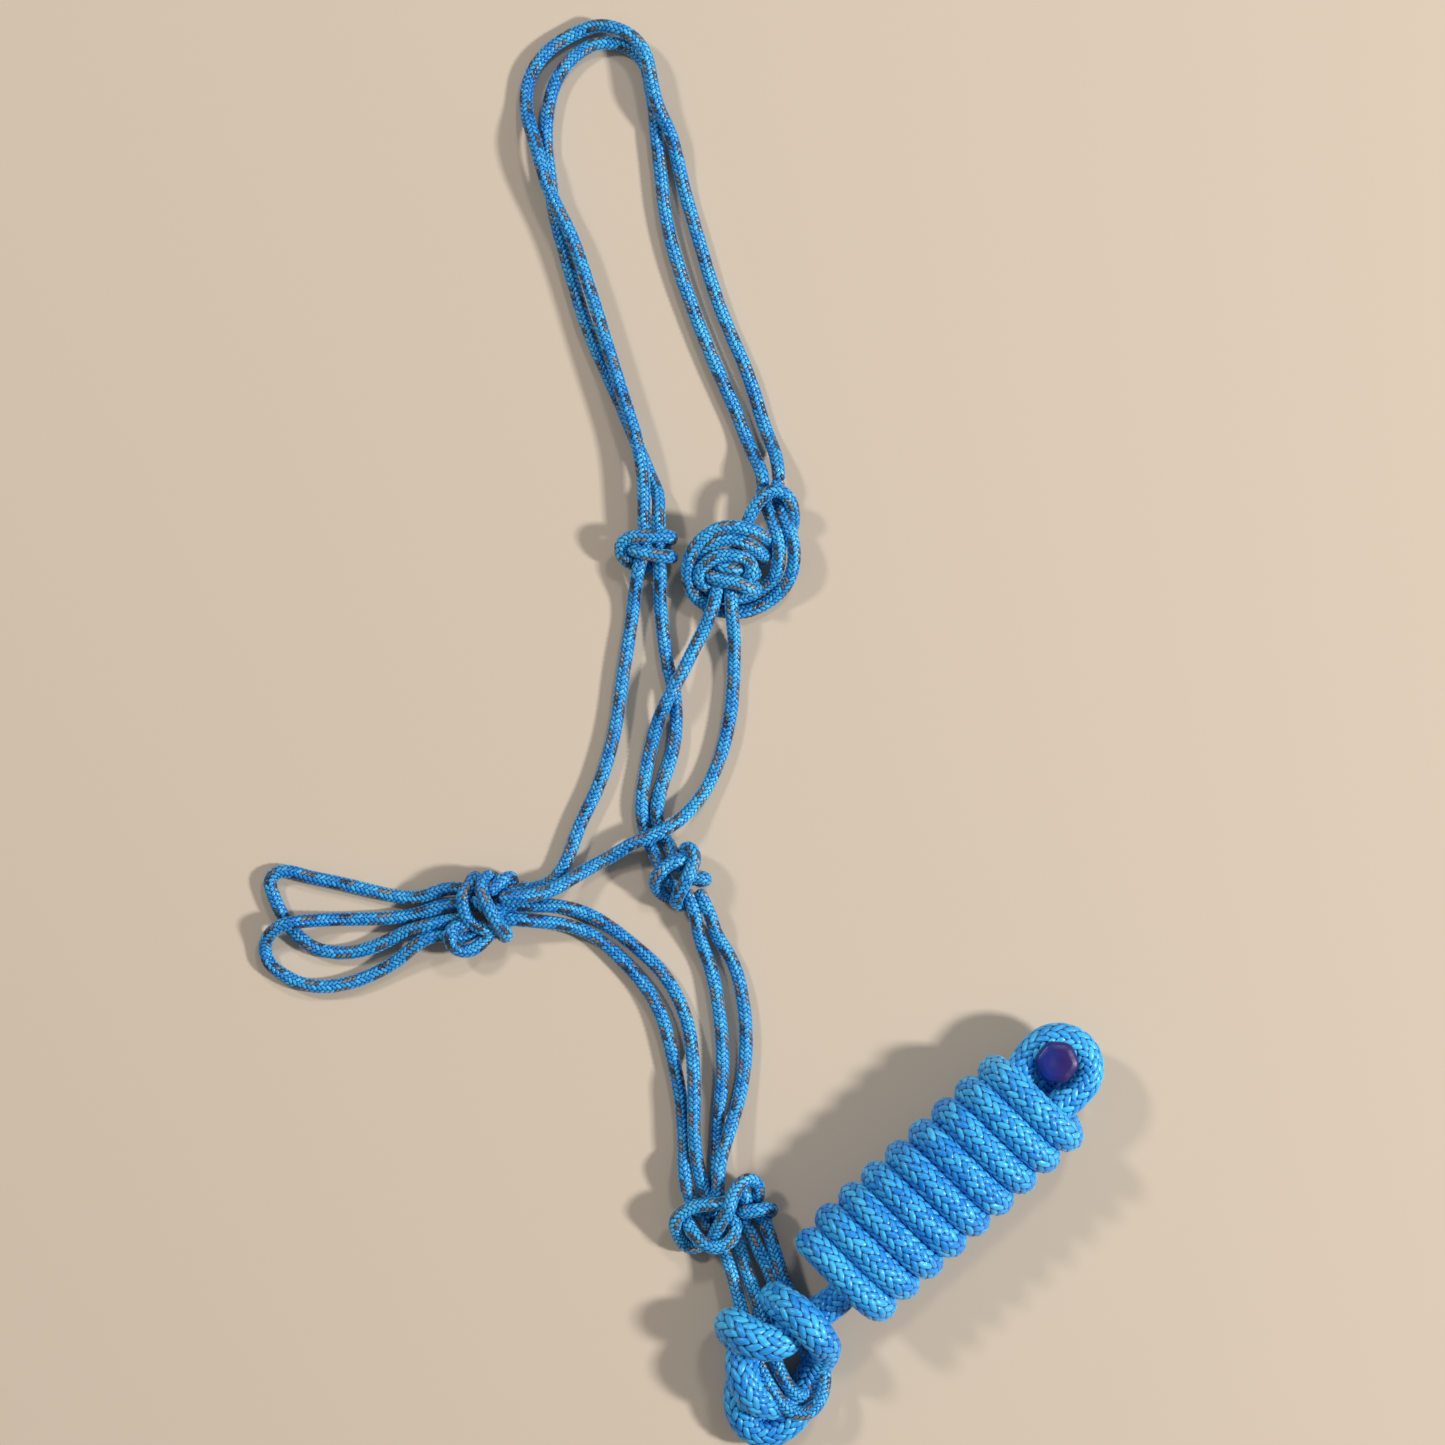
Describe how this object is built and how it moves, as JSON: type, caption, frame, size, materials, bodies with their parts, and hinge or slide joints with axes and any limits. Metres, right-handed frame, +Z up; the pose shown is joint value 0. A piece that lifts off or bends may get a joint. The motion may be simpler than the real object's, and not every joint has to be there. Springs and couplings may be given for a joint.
{
  "type": "rope halter",
  "caption": "Knotted rope halter for a horse, laid flat, with a tied crown, a doubled noseband, a fiador loop and a thick lead rope wrapped into a hank.",
  "frame": {"origin": "on the ground under the middle of the halter's outline as it lies flat", "axes": "+Y towards the crown's far end, -X towards the noseband, +Z up from the ground"},
  "size_m": [0.4221, 0.7144, 0.048],
  "materials": {
    "halter_cord": "glossy braided polyester with dark tracer flecks",
    "lead_rope": "glossy solid-braid multifilament",
    "dipped_tip": "glossy dipped end"
  },
  "bodies": {
    "cheeks": {"right_throat_knot": "halter_cord", "left_throat_knot": "halter_cord", "tie_eye_loop": "halter_cord", "crown_tail_outer": "halter_cord", "crown_tail_inner": "halter_cord", "right_cheek_cord": "halter_cord", "left_cheek_cord": "halter_cord", "right_throat_cord": "halter_cord", "left_throat_cord": "halter_cord", "jaw_knot": "halter_cord", "upper_nose_knot": "halter_cord", "lower_nose_knot": "halter_cord"},
    "crown": {"crown_cord_outer": "halter_cord", "crown_cord_inner": "halter_cord"},
    "noseband": {"noseband_cord_upper": "halter_cord", "noseband_cord_lower": "halter_cord"},
    "chin": {"chin_cord_front": "halter_cord", "chin_cord_back": "halter_cord", "jaw_cord_left": "halter_cord", "jaw_cord_right": "halter_cord", "fiador_knot": "halter_cord"},
    "lead_loop": {"lead_loop_outer": "halter_cord", "lead_loop_inner": "halter_cord", "lead_hitch": "lead_rope", "lead_hitch_bight": "lead_rope"},
    "hank": {"lead_neck": "lead_rope", "lead_hank": "lead_rope", "lead_end_bight": "lead_rope", "lead_tip": "dipped_tip"}
  },
  "joints": [
    {"name": "crown_fold", "type": "hinge", "parent": "cheeks", "child": "crown", "pos_m": [-0.016, 0.1095, 0.0103], "axis": [0.9414, 0.3372, 0], "range_deg": [0, 90]},
    {"name": "noseband_fold", "type": "hinge", "parent": "cheeks", "child": "noseband", "pos_m": [-0.115, -0.076, 0.0103], "axis": [0.3461, 0.9382, 0], "range_deg": [0, 90]},
    {"name": "chin_fold", "type": "hinge", "parent": "cheeks", "child": "chin", "pos_m": [0, -0.088, 0.0103], "axis": [-1, 0, 0], "range_deg": [0, 90]},
    {"name": "lead_loop_fold", "type": "hinge", "parent": "chin", "child": "lead_loop", "pos_m": [0.0265, -0.2635, 0.0103], "axis": [-0.7071, -0.7071, 0], "range_deg": [0, 80]},
    {"name": "hank_swing", "type": "hinge", "parent": "lead_loop", "child": "hank", "pos_m": [0.08, -0.28, 0.016], "axis": [0, 0, 1], "range_deg": [-25, 3]}
  ]
}
